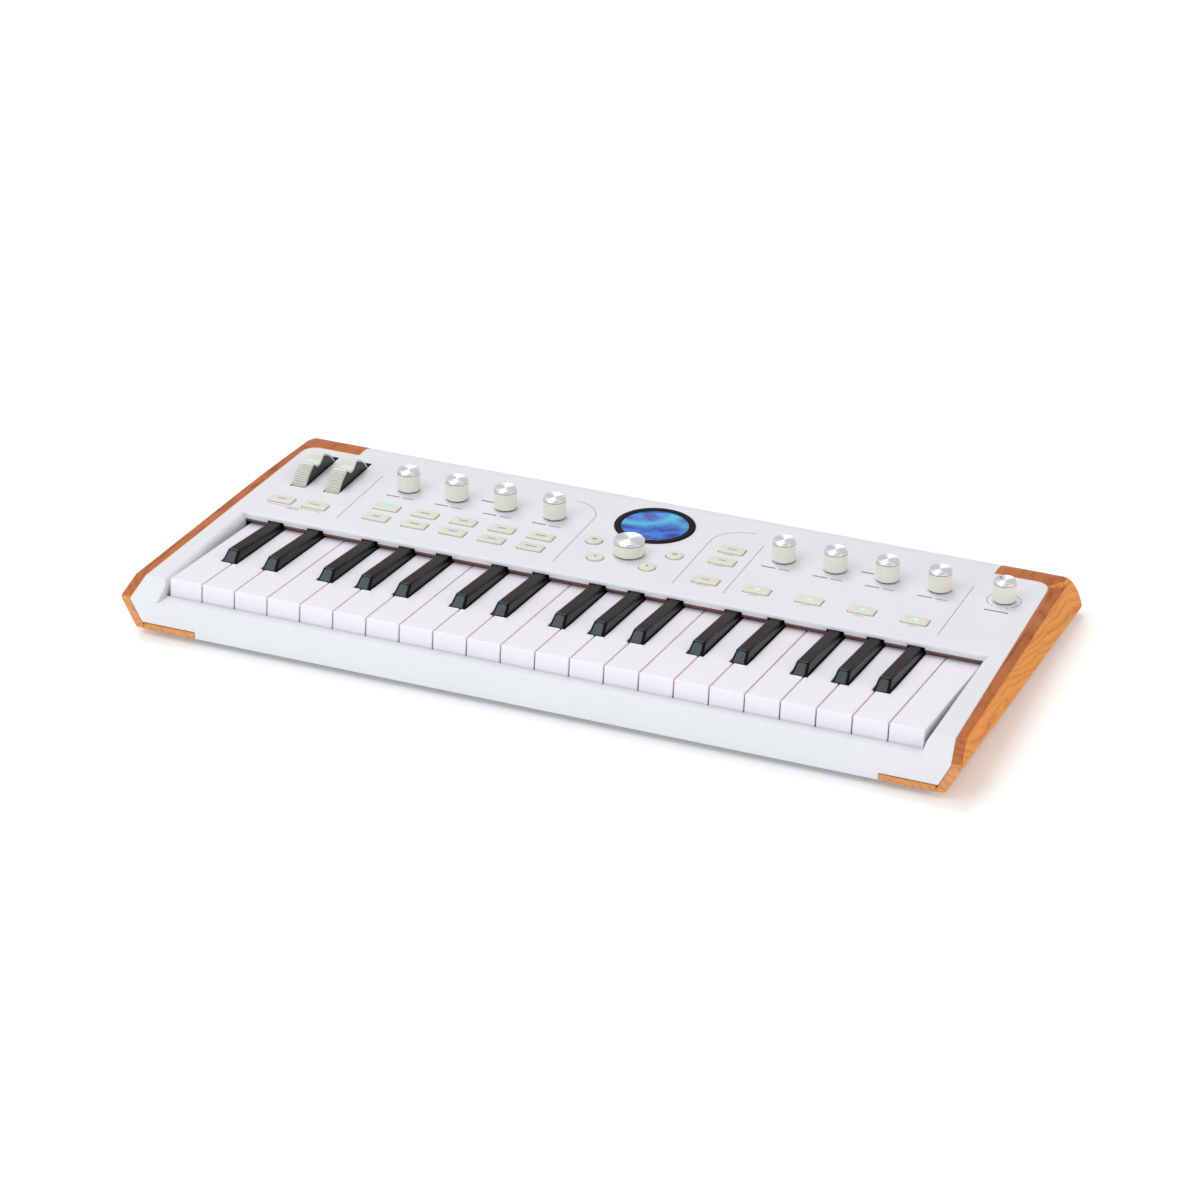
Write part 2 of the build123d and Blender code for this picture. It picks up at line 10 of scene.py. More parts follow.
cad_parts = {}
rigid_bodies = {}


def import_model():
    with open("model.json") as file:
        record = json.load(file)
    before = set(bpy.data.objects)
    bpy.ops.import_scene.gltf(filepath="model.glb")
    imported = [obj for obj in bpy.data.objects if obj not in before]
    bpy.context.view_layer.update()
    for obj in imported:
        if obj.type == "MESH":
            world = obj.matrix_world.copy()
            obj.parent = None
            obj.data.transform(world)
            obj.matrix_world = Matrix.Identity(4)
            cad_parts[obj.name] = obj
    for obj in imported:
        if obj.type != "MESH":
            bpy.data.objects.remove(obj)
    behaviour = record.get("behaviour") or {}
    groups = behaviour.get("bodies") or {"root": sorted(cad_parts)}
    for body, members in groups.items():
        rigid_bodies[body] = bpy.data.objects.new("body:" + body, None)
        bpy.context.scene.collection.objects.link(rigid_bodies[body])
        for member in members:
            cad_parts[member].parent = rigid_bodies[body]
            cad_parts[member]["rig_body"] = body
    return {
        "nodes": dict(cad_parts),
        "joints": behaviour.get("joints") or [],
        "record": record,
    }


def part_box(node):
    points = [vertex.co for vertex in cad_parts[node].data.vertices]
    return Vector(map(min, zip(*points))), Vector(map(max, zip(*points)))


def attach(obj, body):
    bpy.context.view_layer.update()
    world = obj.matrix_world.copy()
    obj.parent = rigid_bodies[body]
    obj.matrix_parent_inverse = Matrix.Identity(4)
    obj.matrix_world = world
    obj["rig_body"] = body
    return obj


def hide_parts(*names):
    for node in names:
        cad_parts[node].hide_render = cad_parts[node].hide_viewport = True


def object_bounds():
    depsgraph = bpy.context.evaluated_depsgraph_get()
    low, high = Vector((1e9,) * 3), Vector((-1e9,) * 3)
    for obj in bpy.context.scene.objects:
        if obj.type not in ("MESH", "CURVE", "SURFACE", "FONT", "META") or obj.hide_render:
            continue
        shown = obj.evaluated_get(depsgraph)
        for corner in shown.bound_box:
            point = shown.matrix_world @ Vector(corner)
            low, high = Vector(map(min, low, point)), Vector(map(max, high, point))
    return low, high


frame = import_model()
cad_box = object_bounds()

MM = 0.001
scene = bpy.context.scene

# ---------------------------------------------------------------- places from the frame
panel_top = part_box("top_case")[1].z
table_z = cad_box[0].z
white_names = [f"white_key_{k:02d}" for k in range(1, 23)]
black_names = [f"black_key_{k:02d}" for k in range(1, 16)]
knob_names = [f"knob_{k}" for k in range(1, 9)] + ["volume_knob"]
mounts = {m["name"]: m for m in frame["record"]["mounts"]}
joints = {j["child"]: j for j in frame["joints"]}


def halved(low, high):
    """A box's centre in x and y, and its half sizes in x and y."""
    return (low.x + high.x) / 2, (low.y + high.y) / 2, (high.x - low.x) / 2, (high.y - low.y) / 2


def middle(node):
    """Centre of a CAD node's box."""
    low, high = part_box(node)
    return (low + high) / 2


def body_of(node):
    """Name of the body that a CAD node rides on."""
    return frame["nodes"][node]["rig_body"]


def islands(node, level):
    """Boxes (low, high) of the separate parts of a node that reach up to a level."""
    shape = bmesh.new()
    shape.from_mesh(frame["nodes"][node].data)
    bmesh.ops.remove_doubles(shape, verts=shape.verts, dist=0.002 * MM)
    unseen = set(shape.verts)
    boxes = []
    while unseen:
        stack = [unseen.pop()]
        found = list(stack)
        while stack:
            for edge in stack.pop().link_edges:
                for vertex in edge.verts:
                    if vertex in unseen:
                        unseen.remove(vertex)
                        stack.append(vertex)
                        found.append(vertex)
        top = [v.co.copy() for v in found if v.co.z > level]
        if top:
            low = Vector([min(p[i] for p in top) for i in range(3)])
            high = Vector([max(p[i] for p in top) for i in range(3)])
            boxes.append((low, high))
    shape.free()
    return sorted(boxes, key=lambda b: (round(b[0].y, 4), b[0].x))


# ---------------------------------------------------------------- material helpers
def add_node(tree, kind, inputs=(), **settings):
    """A shader node with its settings, and its inputs linked or set by name or number."""
    made = tree.nodes.new("ShaderNode" + kind)
    for key, value in settings.items():
        setattr(made, key, value)
    for key, value in dict(inputs).items():
        if isinstance(value, bpy.types.NodeSocket):
            tree.links.new(value, made.inputs[key])
        else:
            made.inputs[key].default_value = value
    return made


def new_surface(name, **sockets):
    """A material with one Principled shader, whose even values are set on its own sockets."""
    material = bpy.data.materials.new(name)
    material.use_nodes = True
    tree = material.node_tree
    shader = next(n for n in tree.nodes if n.type == "BSDF_PRINCIPLED")
    for key, value in sockets.items():
        shader.inputs[key.replace("_", " ")].default_value = value
    return material, tree, shader


def places(tree, scale=(1, 1, 1), turn=(0, 0, 0), shift=(0, 0, 0)):
    """Object coordinates, scaled, turned and shifted."""
    source = add_node(tree, "TexCoord").outputs["Object"]
    mapping = {"Vector": source, "Scale": scale, "Rotation": turn, "Location": shift}
    return add_node(tree, "Mapping", mapping).outputs["Vector"]


def noise(tree, vector, scale, detail=3.0, roughness=0.5, distortion=0.0):
    inputs = {"Vector": vector, "Scale": scale, "Detail": detail, "Roughness": roughness}
    inputs["Distortion"] = distortion
    return add_node(tree, "TexNoise", inputs).outputs["Fac"]


def ramp(tree, factor, *stops):
    """Colour ramp with (position, colour) stops."""
    made = add_node(tree, "ValToRGB", {"Fac": factor})
    elements = made.color_ramp.elements
    while len(elements) < len(stops):
        elements.new(0.5)
    for element, (position, colour) in zip(elements, stops):
        element.position = position
        element.color = (*colour, 1)
    return made.outputs["Color"]


def maths(tree, operation, a, b=0.0, c=0.0):
    made = add_node(tree, "Math", {0: a, 1: b, 2: c}, operation=operation)
    return made.outputs["Value"]


def spread(tree, factor, low, high):
    """Maps 0..1 to low..high."""
    inputs = {"Value": factor, "To Min": low, "To Max": high}
    return add_node(tree, "MapRange", inputs).outputs["Result"]


def blend_colours(tree, factor, a, b, how="MIX"):
    made = add_node(tree, "Mix", {"Factor": factor}, data_type="RGBA", blend_type=how)
    for socket, value in ((made.inputs[6], a), (made.inputs[7], b)):
        if isinstance(value, bpy.types.NodeSocket):
            tree.links.new(value, socket)
        else:
            socket.default_value = (*value, 1)
    return made.outputs[2]


def bumped(tree, shader, height, strength, distance):
    made = add_node(tree, "Bump", {"Height": height, "Strength": strength, "Distance": distance})
    tree.links.new(made.outputs["Normal"], shader.inputs["Normal"])


def moulded(
    name, colour, roughness, grain=900.0, grain_height=0.02 * MM, vary=0.04, gleam=0.5, **sockets
):
    """Moulded or painted plastic: slow colour drift, uneven gloss and a fine surface grain."""
    material, tree, shader = new_surface(name, **sockets)
    shader.inputs["Specular IOR Level"].default_value = gleam
    drift = noise(tree, places(tree), 14.0, 2.0)
    darker = tuple(c * (1 - vary) for c in colour)
    tree.links.new(ramp(tree, drift, (0.3, darker), (0.7, colour)), shader.inputs["Base Color"])
    gloss = noise(tree, places(tree), 60.0, 4.0)
    tree.links.new(spread(tree, gloss, roughness * 0.85, roughness * 1.15), shader.inputs["Roughness"])
    bumped(tree, shader, noise(tree, places(tree), grain, 2.0), 0.35, grain_height)
    return material


def wood(name, light, dark, seed, fall):
    """Oiled hardwood: uneven growth lines at an angle to Y, streaky fibres, pores and slow drift."""
    material, tree, shader = new_surface(name)
    shader.inputs["Specular IOR Level"].default_value = 0.18
    along = places(tree, turn=(radians(fall), 0, 0), shift=(seed, seed, seed))

    def stretched(scale):
        return add_node(tree, "Mapping", {"Vector": along, "Scale": scale}).outputs["Vector"]

    parts = add_node(tree, "SeparateXYZ", {"Vector": along})
    wave = noise(tree, stretched((26.0, 8.0, 26.0)), 1.0, 2.0, 0.5, 0.3)
    across = maths(tree, "MULTIPLY_ADD", parts.outputs["X"], 0.45, parts.outputs["Z"])
    field = maths(tree, "MULTIPLY_ADD", wave, 9.0, maths(tree, "MULTIPLY", across, 190.0))
    rings = maths(tree, "MULTIPLY", maths(tree, "PINGPONG", field, 0.5), 2.0)
    rings = maths(tree, "POWER", rings, 0.55)
    fine = noise(tree, stretched((420.0, 12.0, 420.0)), 1.0, 3.0, 0.6)
    fibre = noise(tree, stretched((1900.0, 50.0, 1900.0)), 1.0, 4.0, 0.65)
    pores = noise(tree, stretched((2600.0, 160.0, 2600.0)), 1.0, 2.0)
    tone = noise(tree, stretched((45.0, 7.0, 45.0)), 1.0, 3.0)
    streaks = maths(tree, "MULTIPLY_ADD", fine, 0.55, maths(tree, "MULTIPLY", fibre, 0.45))
    mixed = maths(tree, "MULTIPLY_ADD", rings, 0.24, maths(tree, "MULTIPLY", streaks, 0.76))
    between = tuple(0.35 * a + 0.65 * b for a, b in zip(dark, light))
    colour = ramp(tree, mixed, (0.36, dark), (0.48, between), (0.63, light))
    deep = tuple(0.70 * c for c in light)
    colour = blend_colours(tree, spread(tree, tone, 0.0, 0.6), colour, deep)
    flecks = ramp(tree, pores, (0.56, (1, 1, 1)), (0.70, (0.66, 0.52, 0.42)))
    colour = blend_colours(tree, 0.6, colour, flecks, "MULTIPLY")
    tree.links.new(colour, shader.inputs["Base Color"])
    tree.links.new(spread(tree, fibre, 0.45, 0.65), shader.inputs["Roughness"])
    bumped(tree, shader, maths(tree, "ADD", maths(tree, "MULTIPLY", fibre, 0.5), mixed), 0.3, 0.04 * MM)
    return material


def spun_metal(name):
    """Turned aluminium: the highlights run out from the axis, with fine rings."""
    material, tree, shader = new_surface(name, Metallic=0.9, Anisotropic=0.75, Anisotropic_Rotation=0.25)
    tangent = add_node(tree, "Tangent", direction_type="RADIAL", axis="Z")
    tree.links.new(tangent.outputs["Tangent"], shader.inputs["Tangent"])
    position = places(tree)
    flat = add_node(tree, "VectorMath", {0: position, 1: (1, 1, 0)}, operation="MULTIPLY")
    radius = add_node(tree, "VectorMath", {0: flat.outputs[0]}, operation="LENGTH").outputs["Value"]
    ring = add_node(tree, "CombineXYZ", {"X": maths(tree, "MULTIPLY", radius, 9000.0)})
    rings = noise(tree, ring.outputs["Vector"], 1.0, 2.0)
    colour = ramp(tree, rings, (0.3, (0.88, 0.88, 0.89)), (0.7, (0.97, 0.97, 0.98)))
    tree.links.new(colour, shader.inputs["Base Color"])
    tree.links.new(spread(tree, rings, 0.30, 0.40), shader.inputs["Roughness"])
    bumped(tree, shader, rings, 0.12, 0.01 * MM)
    return material


def felt(name, colour):
    """Short-haired felt: sheen, uneven colour and a rough surface."""
    material, tree, shader = new_surface(name, Sheen_Weight=0.5, Roughness=0.95)
    fuzz = noise(tree, places(tree), 2600.0, 5.0, 0.7)
    darker = tuple(0.6 * c for c in colour)
    tree.links.new(ramp(tree, fuzz, (0.3, darker), (0.7, colour)), shader.inputs["Base Color"])
    bumped(tree, shader, fuzz, 0.8, 0.15 * MM)
    return material


def lit(name, colour, strength):
    """A lit mark: even light with a slight cloudiness."""
    material, tree, shader = new_surface(name, Roughness=0.4, Emission_Strength=strength)
    cloud = noise(tree, places(tree), 700.0, 2.0)
    darker = tuple(0.85 * c for c in colour)
    shade = ramp(tree, cloud, (0.3, darker), (0.7, colour))
    tree.links.new(shade, shader.inputs["Base Color"])
    tree.links.new(shade, shader.inputs["Emission Color"])
    return material


def screen(name, radius):
    """Round screen: blue and violet clouds with pale turquoise arcs, brighter towards one side."""
    material, tree, shader = new_surface(name, Roughness=0.10, Emission_Strength=0.72)
    position = places(tree, (1 / radius, 1 / radius, 1 / radius))
    cloud = noise(tree, position, 1.5, 3.0, 0.5, 1.2)
    colour = ramp(
        tree, cloud, (0.28, (0.020, 0.020, 0.22)), (0.44, (0.030, 0.09, 0.52)),
        (0.58, (0.04, 0.24, 0.80)), (0.74, (0.20, 0.14, 0.66)),
    )
    wisp = noise(tree, position, 5.0, 3.0)
    for centre, size, width, strength in screen_arcs:
        offset = add_node(tree, "VectorMath", {0: position, 1: centre}, operation="SUBTRACT").outputs[0]
        distance = add_node(tree, "VectorMath", {0: offset}, operation="LENGTH").outputs["Value"]
        distance = maths(tree, "MULTIPLY_ADD", wisp, 0.12, distance)
        gap = maths(tree, "ABSOLUTE", maths(tree, "SUBTRACT", distance, size + 0.06))
        glow = maths(tree, "SUBTRACT", 1.0, maths(tree, "DIVIDE", gap, width))
        glow = maths(tree, "POWER", maths(tree, "MAXIMUM", glow, 0.0), 1.6)
        glow = maths(tree, "MULTIPLY", glow, strength)
        colour = blend_colours(tree, glow, colour, (0.08, 0.62, 0.92))
    tree.links.new(colour, shader.inputs["Emission Color"])
    tree.links.new(blend_colours(tree, 0.9, colour, (0.0, 0.0, 0.0)), shader.inputs["Base Color"])
    return material


# Arcs on the screen: centre and radius as shares of the screen's radius, width, strength.
screen_arcs = (
    ((-0.75, 1.05, 0), 1.15, 0.34, 0.80),
    ((-0.95, 1.00, 0), 1.20, 0.10, 0.60),
    ((0.95, 1.10, 0), 0.80, 0.45, 0.60),
)

case_white = moulded("case_paint", (0.82, 0.825, 0.855), 0.42, 1500.0, 0.012 * MM, 0.02)
case_grey = moulded("base_plastic", (0.16, 0.16, 0.17), 0.6, 500.0, 0.05 * MM)
frame_plastic = moulded("key_bed_plastic", (0.05, 0.045, 0.06), 0.7)
board_green = moulded("board_resist", (0.03, 0.10, 0.06), 0.45, 1200.0, 0.01 * MM, 0.3)
foot_rubber = moulded("foot_rubber", (0.03, 0.03, 0.03), 0.8, 700.0, 0.06 * MM, 0.2)
screw_steel = moulded("screw_plating", (0.20, 0.20, 0.21), 0.35, 1500.0, 0.01 * MM, 0.1, Metallic=1.0)
key_white = moulded(
    "white_key_plastic", (0.965, 0.915, 0.975), 0.20, 1100.0, 0.006 * MM, 0.02, Coat_Weight=0.2,
)
key_black = moulded("black_key_gloss", (0.004, 0.0035, 0.0035), 0.18, 1300.0, 0.004 * MM, 0.2, 0.16)
# The top is a real satin finish, but its lighter colour than the gloss black is painted light.
key_black_painted_lit_top = moulded("black_key_satin", (0.028, 0.021, 0.018), 0.50, 1300.0, 0.012 * MM, 0.2, 0.12)
# The slate blue on the black keys' sloped fronts is a painted reflection.
key_painted_reflection = moulded("black_key_front", (0.026, 0.050, 0.066), 0.20, 1300.0, 0.004 * MM, 0.1, 0.35)
knob_cream = moulded("knob_plastic", (0.88, 0.855, 0.755), 0.32, 1400.0, 0.01 * MM, 0.03)
# Painted shade for the knobs' feet and the groove under their caps; also the real colour of the volume
# knob's pointer dot.
knob_painted_shade_and_dot = moulded("knob_shadow_ring", (0.10, 0.09, 0.09), 0.6)
button_cream = moulded("button_plastic", (0.80, 0.77, 0.645), 0.38, 1200.0, 0.01 * MM, 0.05)
wheel_dark = moulded("wheel_side_plastic", (0.014, 0.009, 0.007), 0.22, 1300.0, 0.01 * MM, 0.2, 0.25)
wheel_cream = moulded("wheel_tread_plastic", (0.76, 0.745, 0.68), 0.40, 1400.0, 0.02 * MM, 0.05)
bezel_black = moulded("bezel_plastic", (0.012, 0.006, 0.004), 0.40, 1200.0, 0.005 * MM, 0.2, 0.06)
# Painted shade for the gaps round the buttons.
gap_shade_brown = moulded("painted_shade_in_button_gaps", (0.10, 0.075, 0.055), 0.6)
# Black plastic of the socket rings; the same colour lines the wheel slots as painted shade.
socket_black_and_slot_shade = moulded("socket_plastic_and_slot_shade", (0.02, 0.02, 0.02), 0.45)
print_grey = moulded("print_ink", (0.11, 0.105, 0.14), 0.7)
print_pale = moulded("print_ink_pale", (0.38, 0.37, 0.43), 0.7)
lip_felt = felt("lip_felt", (0.30, 0.10, 0.06))
aluminium = spun_metal("spun_aluminium")
cyan_light = lit("cyan_light", (0.06, 0.62, 0.80), 0.9)
blue_light = lit("blue_light", (0.06, 0.27, 0.44), 0.45)
mint_light = lit("mint_light", (0.30, 0.85, 0.72), 0.7)
# One wood in three copies: the side copy is the base, the top copy is darker as painted shade, and the
# under copy is paler as a painted highlight.
wood_side = wood("cheek_wood_side", (1.0, 0.375, 0.055), (0.55, 0.15, 0.020), 0.0, 15)
wood_painted_highlight = wood("cheek_wood_painted_highlight", (0.86, 0.40, 0.16), (0.50, 0.20, 0.07), 1.9, 15)
wood_painted_shade = wood("cheek_wood_painted_shade", (0.62, 0.19, 0.060), (0.25, 0.066, 0.024), 3.7, 0)


# ---------------------------------------------------------------- mesh helpers
def circle(x, y, z, radius, count=64):
    """Closed ring of points about +Z."""
    turns = [2 * pi * i / count for i in range(count)]
    return [Vector((x + radius * cos(t), y + radius * sin(t), z)) for t in turns]


def rounded(x, y, z, half_x, half_y, radius, count=6):
    """Closed ring of points: a rectangle with round corners."""
    radius = max(min(radius, half_x, half_y), 1e-6)
    ring = []
    for corner, (sx, sy) in enumerate(((1, 1), (-1, 1), (-1, -1), (1, -1))):
        for step in range(count + 1):
            turn = (corner + step / count) * pi / 2
            px = x + sx * (half_x - radius) + radius * cos(turn)
            py = y + sy * (half_y - radius) + radius * sin(turn)
            ring.append(Vector((px, py, z)))
    return ring


class Shape:
    """Collects skinned rings of points, then becomes one mesh piece."""

    def __init__(self):
        self.points, self.faces, self.kinds = [], [], []

    def skin(self, rings, kinds=0, first=0, last=0):
        """Bands between successive rings, with end caps unless first or last is None.

        kinds, first and last are numbers of the piece's materials.
        """
        count = len(rings[0])
        base = len(self.points)
        if isinstance(kinds, int):
            kinds = [kinds] * (len(rings) - 1)
        for ring in rings:
            self.points += ring
        for band, kind in enumerate(kinds):
            for i in range(count):
                a = base + band * count + i
                b = base + band * count + (i + 1) % count
                self.faces.append((a, b, b + count, a + count))
                self.kinds.append(kind)
        if first is not None:
            self.faces.append(tuple(base + i for i in reversed(range(count))))
            self.kinds.append(first)
        if last is not None:
            start = base + count * (len(rings) - 1)
            self.faces.append(tuple(start + i for i in range(count)))
            self.kinds.append(last)

    def strip(self, points, width, z, kind=0, closed=False):
        """Flat printed line of even width through points given as (x, y)."""
        line = [Vector((x, y, z)) for x, y in points]
        base = len(self.points)
        count = len(line)
        for i, point in enumerate(line):
            before = line[i - 1] if closed else line[max(i - 1, 0)]
            after = line[(i + 1) % count] if closed else line[min(i + 1, count - 1)]
            along = (after - before).normalized()
            across = Vector((-along.y, along.x, 0)) * width / 2
            self.points += [point + across, point - across]
        for i in range(count if closed else count - 1):
            j = (i + 1) % count
            self.faces.append((base + 2 * i + 1, base + 2 * j + 1, base + 2 * j, base + 2 * i))
            self.kinds.append(kind)

    def finish(self, name, body, materials, replaced=(), origin=None, sharp=32):
        """The mesh piece, riding on a CAD body."""
        origin = Vector(origin or (0, 0, 0))
        mesh = bpy.data.meshes.new(name)
        mesh.from_pydata([p - origin for p in self.points], [], self.faces)
        for material in materials:
            mesh.materials.append(material)
        for polygon, kind in zip(mesh.polygons, self.kinds):
            polygon.material_index = kind
        return place(mesh, name, body, replaced, origin, sharp)


def place(mesh, name, body, replaced=(), origin=(0, 0, 0), sharp=32):
    """Makes an object from a mesh and ties it to the frame."""
    mesh.validate()
    mesh.shade_smooth()
    mesh.set_sharp_from_angle(angle=radians(sharp))
    piece = bpy.data.objects.new(name, mesh)
    scene.collection.objects.link(piece)
    piece.location = origin
    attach(piece, body)
    if replaced:
        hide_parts(*replaced)
    return piece


def round_edges(shape, width, segments, pick=None):
    """Rounds the sharp edges that pick chooses, or all of them."""
    edges = [e for e in shape.edges if len(e.link_faces) == 2 and e.calc_face_angle(0) > radians(28)]
    edges = [e for e in edges if pick is None or pick(e)]
    bmesh.ops.bevel(
        shape, geom=edges, offset=width, segments=segments, profile=0.5,
        affect="EDGES", clamp_overlap=False,
    )


def softened(node, name, rounds, materials, paint=None):
    """A CAD node's shape with its edges rounded, as its own piece. Each of rounds is for round_edges."""
    source = frame["nodes"][node]
    shape = bmesh.new()
    shape.from_mesh(source.data)
    bmesh.ops.remove_doubles(shape, verts=shape.verts, dist=0.002 * MM)
    bmesh.ops.dissolve_limit(shape, angle_limit=radians(0.6), verts=shape.verts, edges=shape.edges)
    for width, segments, pick in rounds:
        round_edges(shape, width, segments, pick)
    bmesh.ops.connect_verts_concave(shape, faces=shape.faces)
    mesh = bpy.data.meshes.new(name)
    shape.to_mesh(mesh)
    shape.free()
    for material in materials:
        mesh.materials.append(material)
    for polygon in mesh.polygons:
        polygon.material_index = paint(polygon) if paint else 0
    piece = place(mesh, name, source["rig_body"], (node,), sharp=40)
    weighted = piece.modifiers.new("flat_faces", "WEIGHTED_NORMAL")
    weighted.keep_sharp = True
    return piece


def dress(node, material):
    """Gives a CAD node that stays in sight its material."""
    for holder in frame["nodes"][node].material_slots:
        holder.material = material


# ---------------------------------------------------------------- case and wood
lip_y = -11.3 * MM


def clear_of_lip(edge):
    """Picks the case's edges away from the panel's lip and the ends of the keys' side arms."""
    return not any(lip_y - 2.5 * MM < v.co.y < lip_y + 4.5 * MM for v in edge.verts)


def wood_painted_light(polygon):
    """Painted light: darker on top and behind as painted shade, paler in front and on the undercut faces
    near the table as a painted highlight.
    """
    if polygon.normal.z > 0.8 or polygon.normal.y > 0.5:
        return 1
    return 2 if polygon.normal.z < -0.15 or polygon.normal.y < -0.9 else 0


def rear_rim(edge):
    """Picks the edge where a cheek's outer face turns over to the rear."""
    return all(v.co.y > 98 * MM and abs(v.co.x) > 249 * MM for v in edge.verts)


def widest_rim(edge):
    """Picks the edge along a cheek's widest line, low on its outer face."""
    return all(abs(v.co.x) > 260.5 * MM for v in edge.verts)


softened("top_case", "case_shell", [(0.35 * MM, 2, clear_of_lip)], [case_white])
# Each cheek face gets a copy of the wood by the way it faces: painted shade on top and behind, painted
# highlight in front and underneath.
cheek_rounds = [(4.5 * MM, 6, rear_rim), (1.6 * MM, 4, widest_rim), (0.8 * MM, 3, None)]
cheek_woods = [wood_side, wood_painted_shade, wood_painted_highlight]
for side in ("left", "right"):
    softened(
        f"{side}_end_cheek", f"{side}_cheek_wood", cheek_rounds,
        cheek_woods, wood_painted_light,
    )
dress("bottom_case", case_grey)
dress("key_frame", frame_plastic)
dress("circuit_boards", board_green)

# ---------------------------------------------------------------- keys
def outside(edge):
    """Picks the edges of a white key that border no underside."""
    return all(face.normal.z > -0.5 for face in edge.link_faces)


for node in white_names:
    cap_name = node.replace("key", "key_cap")
    softened(node, cap_name, [(0.55 * MM, 3, outside)], [key_white])

key_tilt = radians(5.0)
white_front, white_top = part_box("white_key_01")[0].y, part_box("white_key_01")[1].z


def over_deck(point):
    """Height of a point over the tops of the white keys."""
    return point.z - white_top + sin(key_tilt) * (point.y - white_front)


def above_deck(edge):
    """Picks a black key's edges that stand over the white keys, apart from its hidden rear ones."""
    if any(face.normal.y > 0.9 for face in edge.link_faces):
        return False
    return any(over_deck(v.co) > 1.0 * MM for v in edge.verts)


def black_satin_and_painted_light(polygon):
    """Satin on top, with a lighter colour there as painted light; gloss elsewhere."""
    return 0 if polygon.normal.z > 0.97 else 1


arch_margin = 0.35 * MM     # between the arched flat and the front's own side edges
arch_foot = 0.4 * MM        # its lower edge, over the white keys
arch_proud = 0.03 * MM
arch_sunk = 0.35 * MM       # how far its body reaches into the key
arch_steps = 8              # in a quarter turn


def painted_front_reflection(cap, node):
    """A painted reflection: a slate flat with an arched top on a black key's sloped front."""
    fronts = [p for p in cap.data.polygons if p.normal.y < -0.6 and abs(p.normal.x) < 0.08]
    fronts = [p for p in fronts if over_deck(p.center) > 0.2 * MM]
    face = max(fronts, key=lambda p: p.area)
    across = Vector((1, 0, 0))
    up = face.normal.cross(across)
    corners = [cap.data.vertices[i].co - face.center for i in face.vertices]
    high = max(c.dot(up) for c in corners)
    low = (arch_foot - over_deck(face.center)) / up.z
    half_top = max(c.x for c in corners if c.dot(up) > high - 0.5 * MM)
    half_foot = max(c.x for c in corners)
    radius = 0.75 * half_top
    outline = [(-half_foot + arch_margin, low), (half_foot - arch_margin, low)]
    for step in range(2 * arch_steps + 1):
        turn = step / arch_steps * pi / 2
        side = 1 if step <= arch_steps else -1
        x = side * (half_top - radius) + radius * cos(turn)
        outline.append((x, high - radius + radius * sin(turn)))
    shape = Shape()
    rings = []
    for lift in (-arch_sunk, arch_proud):
        rings.append([face.center + across * x + up * y + face.normal * lift for x, y in outline])
    shape.skin(rings)
    return shape.finish(node.replace("key", "key_front"), body_of(node), [key_painted_reflection])


for node in black_names:
    key_cap = softened(
        node, node.replace("key", "key_cap"), [(1.25 * MM, 5, above_deck)],
        [key_black_painted_lit_top, key_black], black_satin_and_painted_light,
    )
    painted_front_reflection(key_cap, node)

# ---------------------------------------------------------------- knobs and dial
cap_over = 0.75 * MM        # the metal cap's chamfer, inwards
cap_fall = 0.75 * MM        # and downwards
cap_edge = 1.9 * MM         # from the cap's top down to its lower edge
shaft_radius = 3.0 * MM
dot_radius = 0.7 * MM       # the volume knob's pointer dot
dot_inset = 3.0 * MM        # from the knob's edge to the dot's centre
dot_turn = 149              # degrees from +X
# The second material is painted shade at a knob's foot and under its cap, and the pointer dot's own dark
# colour.
cream, shade_and_dot, metal = 0, 1, 2      # numbers of a knob's materials


def knob(node, dot=False):
    """A cream wall on a foot painted dark as shade, under a spun metal cap with a chamfer and a slightly
    dished face; a band of painted shade sits just under the cap.
    """
    low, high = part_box(node)
    x, y, radius, _ = halved(low, high)
    top = high.z
    foot = panel_top + 0.5 * MM
    under = top - cap_edge
    profile = [
        (shaft_radius, low.z, shade_and_dot), (shaft_radius, foot - 0.1 * MM, shade_and_dot),
        (radius - 0.9 * MM, foot - 0.1 * MM, shade_and_dot),
        (radius - 0.9 * MM, foot + 0.5 * MM, cream), (radius - 0.25 * MM, foot + 0.5 * MM, cream),
        (radius, foot + 0.9 * MM, cream), (radius, under - 0.25 * MM, shade_and_dot),
        (radius - 0.22 * MM, under - 0.2 * MM, shade_and_dot), (radius - 0.22 * MM, under, metal),
        (radius - 0.02 * MM, under + 0.1 * MM, metal),
        (radius - 0.02 * MM, top - cap_fall - 0.15 * MM, metal),
        (radius - 0.14 * MM, top - cap_fall, metal), (radius - cap_over, top - 0.05 * MM, metal),
        (radius - cap_over - 0.25 * MM, top, metal),
        (radius - cap_over - 0.5 * MM, top - 0.06 * MM, metal),
        (radius * 0.5, top - 0.12 * MM, metal), (0.3 * MM, top - 0.16 * MM, metal),
    ]
    shape = Shape()
    rings = [circle(x, y, z, r, 72) for r, z, kind in profile]
    shape.skin(rings, [kind for r, z, kind in profile[:-1]], shade_and_dot, metal)
    if dot:
        turn = radians(dot_turn)
        dx, dy = (radius - dot_inset) * cos(turn), (radius - dot_inset) * sin(turn)
        ends = (top - 0.4 * MM, top + 0.02 * MM)
        dots = [circle(x + dx, y + dy, z, dot_radius, 20) for z in ends]
        shape.skin(dots, shade_and_dot, shade_and_dot, shade_and_dot)
    surfaces = [knob_cream, knob_painted_shade_and_dot, aluminium]
    return shape.finish(node + "_turned", body_of(node), surfaces, [node], (x, y, top), 24)


for node in knob_names + ["main_dial"]:
    knob(node, dot=node == "volume_knob")

